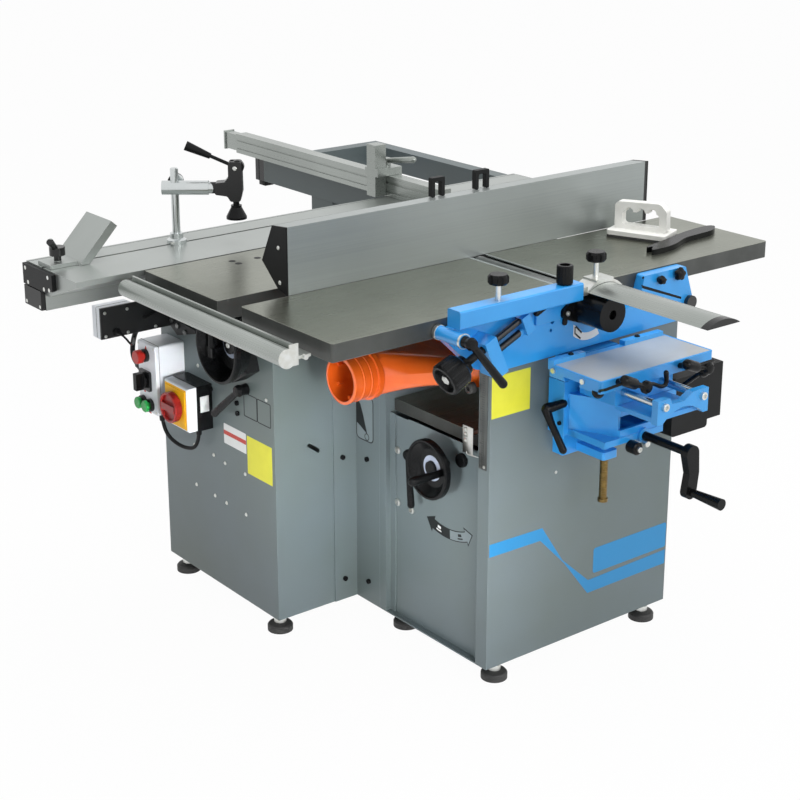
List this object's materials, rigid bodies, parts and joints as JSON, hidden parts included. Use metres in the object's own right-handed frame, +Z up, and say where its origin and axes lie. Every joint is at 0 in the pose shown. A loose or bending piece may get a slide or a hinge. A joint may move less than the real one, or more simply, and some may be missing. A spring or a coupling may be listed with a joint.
{
  "type": "combination woodworking machine",
  "caption": "Floor-standing woodworking machine joining a planer-thicknesser, a sliding-table saw with outrigger and crosscut fence, and a slot mortising table.",
  "frame": {"origin": "middle of the machine's outline on the floor", "axes": "+X along the planer feed, +Y from the planer side towards the sliding table, +Z up"},
  "size_m": [1.432, 2.011, 1.082],
  "materials": {
    "saw_cabinet": null,
    "planer_cabinet": null,
    "thickness_panel": null,
    "link_angle": null,
    "levelling_feet": null,
    "outfeed_table": null,
    "infeed_table": null,
    "side_casting": null,
    "depth_knob": null,
    "infeed_lever": null,
    "cutterblock": null,
    "chuck_guard": null,
    "planer_motor": null,
    "guard_beam": null,
    "guard_knobs": null,
    "bridge_guard": null,
    "guard_clamp": null,
    "fence_bracket": null,
    "planer_fence": null,
    "fence_end_caps": null,
    "thickness_bed": null,
    "thickness_wheel": null,
    "bed_lock_lever": null,
    "chip_hood": null,
    "mortise_slideway": null,
    "mortise_knee": null,
    "mortise_saddle": null,
    "mortise_table": null,
    "mortise_crank": null,
    "saddle_lever": null,
    "slide_cover": null,
    "saw_table": null,
    "rip_rail": null,
    "slide_beam": null,
    "slide_carriage": null,
    "carriage_end_plates": null,
    "outrigger_frame": null,
    "crosscut_fence": null,
    "fence_extension": null,
    "flip_stop": null,
    "clamp_column": null,
    "clamp_arm": null,
    "clamp_lever": null,
    "clamp_pad": null,
    "edge_shoe": null,
    "saw_arbor": null,
    "saw_blade": null,
    "saw_wheel": null,
    "saw_lock_lever": null,
    "control_box": null,
    "main_switch": null,
    "junction_box": null,
    "cables": null,
    "stop_button": null,
    "selector_knob": null,
    "start_button_left": null,
    "start_button_right": null,
    "main_knob": null,
    "push_block": null,
    "push_stick": null
  },
  "bodies": {
    "machine_frame": {"saw_cabinet": "saw_cabinet", "planer_cabinet": "planer_cabinet", "thickness_panel": "thickness_panel", "link_angle": "link_angle", "levelling_feet": "levelling_feet", "outfeed_table": "outfeed_table", "side_casting": "side_casting", "chuck_guard": "chuck_guard", "saw_table": "saw_table", "rip_rail": "rip_rail", "slide_beam": "slide_beam", "control_box": "control_box", "main_switch": "main_switch", "junction_box": "junction_box", "cables": "cables", "planer_motor": "planer_motor", "mortise_slideway": "mortise_slideway", "slide_cover": "slide_cover", "fence_bracket": "fence_bracket"},
    "infeed": {"infeed_table": "infeed_table"},
    "depth_screw": {"depth_knob": "depth_knob"},
    "infeed_lock": {"infeed_lever": "infeed_lever"},
    "cutter": {"cutterblock": "cutterblock"},
    "fence": {"planer_fence": "planer_fence", "fence_end_caps": "fence_end_caps"},
    "guard_arm": {"guard_beam": "guard_beam", "guard_knobs": "guard_knobs", "guard_clamp": "guard_clamp"},
    "guard": {"bridge_guard": "bridge_guard"},
    "bed": {"thickness_bed": "thickness_bed"},
    "bed_wheel": {"thickness_wheel": "thickness_wheel"},
    "bed_lock": {"bed_lock_lever": "bed_lock_lever"},
    "hood": {"chip_hood": "chip_hood"},
    "knee": {"mortise_knee": "mortise_knee"},
    "crank": {"mortise_crank": "mortise_crank"},
    "saddle": {"mortise_saddle": "mortise_saddle"},
    "lever": {"saddle_lever": "saddle_lever"},
    "cross_table": {"mortise_table": "mortise_table"},
    "carriage": {"slide_carriage": "slide_carriage", "carriage_end_plates": "carriage_end_plates", "outrigger_frame": "outrigger_frame", "clamp_column": "clamp_column"},
    "cross_fence": {"crosscut_fence": "crosscut_fence"},
    "extension": {"fence_extension": "fence_extension"},
    "stop": {"flip_stop": "flip_stop"},
    "hold_arm": {"clamp_arm": "clamp_arm"},
    "hold_lever": {"clamp_lever": "clamp_lever"},
    "hold_pad": {"clamp_pad": "clamp_pad"},
    "shoe": {"edge_shoe": "edge_shoe"},
    "arbor": {"saw_arbor": "saw_arbor"},
    "blade": {"saw_blade": "saw_blade"},
    "rise_wheel": {"saw_wheel": "saw_wheel"},
    "rise_lock": {"saw_lock_lever": "saw_lock_lever"},
    "stop_push": {"stop_button": "stop_button"},
    "start_left": {"start_button_left": "start_button_left"},
    "start_right": {"start_button_right": "start_button_right"},
    "selector": {"selector_knob": "selector_knob"},
    "main_turn": {"main_knob": "main_knob"},
    "pusher": {"push_block": "push_block"},
    "stick": {"push_stick": "push_stick"}
  },
  "joints": [
    {"name": "infeed_rise", "type": "slide", "parent": "machine_frame", "child": "infeed", "axis": [0.9135, 0, 0.4067], "range_m": [-0.012, 0]},
    {"name": "depth_turn", "type": "hinge", "parent": "machine_frame", "child": "depth_screw", "pos_m": [-0.291, -0.6855, 0.757], "axis": [0.9135, 0, 0.4067], "range_deg": [-1442, 2]},
    {"name": "infeed_clamp", "type": "hinge", "parent": "machine_frame", "child": "infeed_lock", "pos_m": [-0.281, -0.7205, 0.826], "axis": [0, -1, 0], "range_deg": [-25, 30]},
    {"name": "cutter_spin", "type": "hinge", "parent": "machine_frame", "child": "cutter", "pos_m": [0.087, -0.6255, 0.815], "axis": [0, 1, 0], "continuous": true},
    {"name": "fence_tilt", "type": "hinge", "parent": "machine_frame", "child": "fence", "pos_m": [0.234, -0.2805, 0.872], "axis": [1, 0, 0], "range_deg": [-45, 0]},
    {"name": "guard_height", "type": "slide", "parent": "machine_frame", "child": "guard_arm", "axis": [0, 0, 1], "range_m": [0, 0.05]},
    {"name": "guard_slide", "type": "slide", "parent": "guard_arm", "child": "guard", "axis": [0, 1, 0], "range_m": [0, 0.28]},
    {"name": "bed_rise", "type": "slide", "parent": "machine_frame", "child": "bed", "axis": [0, 0, 1], "range_m": [-0.03, 0.04]},
    {"name": "bed_wheel_turn", "type": "hinge", "parent": "machine_frame", "child": "bed_wheel", "pos_m": [-0.171, -0.4735, 0.464], "axis": [1, 0, 0], "range_deg": [-2702, 3602]},
    {"name": "bed_clamp", "type": "hinge", "parent": "machine_frame", "child": "bed_lock", "pos_m": [-0.141, -0.3725, 0.458], "axis": [1, 0, 0], "range_deg": [0, 40]},
    {"name": "hood_out", "type": "slide", "parent": "machine_frame", "child": "hood", "axis": [-1, 0, 0], "range_m": [0, 0.2]},
    {"name": "knee_rise", "type": "slide", "parent": "machine_frame", "child": "knee", "axis": [0, 0, 1], "range_m": [-0.02, 0.045]},
    {"name": "crank_turn", "type": "hinge", "parent": "knee", "child": "crank", "pos_m": [0.135, -0.7755, 0.562], "axis": [0, -1, 0], "range_deg": [-1442, 3242]},
    {"name": "saddle_slide", "type": "slide", "parent": "knee", "child": "saddle", "axis": [0, 1, 0], "range_m": [-0.05, 0.012]},
    {"name": "lever_turn", "type": "hinge", "parent": "knee", "child": "lever", "pos_m": [0.219, -0.7755, 0.63], "axis": [1, 0, 0], "range_deg": [-11, 44]},
    {"name": "table_cross", "type": "slide", "parent": "saddle", "child": "cross_table", "axis": [1, 0, 0], "range_m": [-0.08, 0.08]},
    {"name": "carriage_run", "type": "slide", "parent": "machine_frame", "child": "carriage", "axis": [1, 0, 0], "range_m": [-0.5, 0.5]},
    {"name": "cross_swing", "type": "hinge", "parent": "carriage", "child": "cross_fence", "pos_m": [0.293, 0.1145, 0.87], "axis": [0, 0, 1], "range_deg": [-45, 45]},
    {"name": "extension_out", "type": "slide", "parent": "cross_fence", "child": "extension", "axis": [0, 1, 0], "range_m": [0, 0.2]},
    {"name": "stop_run", "type": "slide", "parent": "cross_fence", "child": "stop", "axis": [0, 1, 0], "range_m": [-0.15, 0.55]},
    {"name": "arm_swing", "type": "hinge", "parent": "carriage", "child": "hold_arm", "pos_m": [-0.3735, 0.1835, 0.977], "axis": [0, 0, 1], "range_deg": [-90, 90]},
    {"name": "lever_lift", "type": "hinge", "parent": "hold_arm", "child": "hold_lever", "pos_m": [-0.26647, 0.09959, 1.023], "axis": [0.617, 0.787, 0], "range_deg": [0, 70]},
    {"name": "pad_press", "type": "slide", "parent": "hold_arm", "child": "hold_pad", "axis": [0, 0, 1], "range_m": [-0.0122, 0.0002]},
    {"name": "shoe_run", "type": "slide", "parent": "carriage", "child": "shoe", "axis": [1, 0, 0], "range_m": [0, 0.1]},
    {"name": "arbor_rise", "type": "slide", "parent": "machine_frame", "child": "arbor", "axis": [0, 0, 1], "range_m": [0, 0.085]},
    {"name": "blade_spin", "type": "hinge", "parent": "arbor", "child": "blade", "pos_m": [-0.041, 0.0025, 0.69], "axis": [0, 1, 0], "continuous": true},
    {"name": "rise_wheel_turn", "type": "hinge", "parent": "machine_frame", "child": "rise_wheel", "pos_m": [-0.401, -0.0755, 0.682], "axis": [1, 0, 0], "range_deg": [-2, 5102]},
    {"name": "rise_clamp", "type": "hinge", "parent": "machine_frame", "child": "rise_lock", "pos_m": [-0.371, -0.0635, 0.568], "axis": [1, 0, 0], "range_deg": [-20, 25]},
    {"name": "stop_travel", "type": "slide", "parent": "machine_frame", "child": "stop_push", "axis": [1, 0, 0], "range_m": [0, 0.005], "stiffness_N_per_m": 400},
    {"name": "start_left_travel", "type": "slide", "parent": "machine_frame", "child": "start_left", "axis": [1, 0, 0], "range_m": [0, 0.004], "stiffness_N_per_m": 300},
    {"name": "start_right_travel", "type": "slide", "parent": "machine_frame", "child": "start_right", "axis": [1, 0, 0], "range_m": [0, 0.004], "stiffness_N_per_m": 300},
    {"name": "selector_turn", "type": "hinge", "parent": "machine_frame", "child": "selector", "pos_m": [-0.441, 0.2445, 0.521], "axis": [1, 0, 0], "range_deg": [-45, 45]},
    {"name": "main_turn_joint", "type": "hinge", "parent": "machine_frame", "child": "main_turn", "pos_m": [-0.431, 0.1345, 0.486], "axis": [1, 0, 0], "range_deg": [0, 90]},
    {"name": "pusher_lift", "type": "slide", "parent": "machine_frame", "child": "pusher", "axis": [0, 0, 1], "range_m": [0, 0.1]},
    {"name": "stick_lift", "type": "slide", "parent": "machine_frame", "child": "stick", "axis": [0, 0, 1], "range_m": [0, 0.1]}
  ],
  "couplings": [
    {"joint": "depth_turn", "follows": "infeed_rise", "rad_per_m": 2094.4},
    {"joint": "bed_wheel_turn", "follows": "bed_rise", "rad_per_m": 1570.8},
    {"joint": "crank_turn", "follows": "knee_rise", "rad_per_m": 1256.6},
    {"joint": "lever_turn", "follows": "saddle_slide", "rad_per_m": -15},
    {"joint": "rise_wheel_turn", "follows": "arbor_rise", "rad_per_m": 1047.2},
    {"joint": "pad_press", "follows": "lever_lift", "m_per_rad": -0.0098}
  ]
}
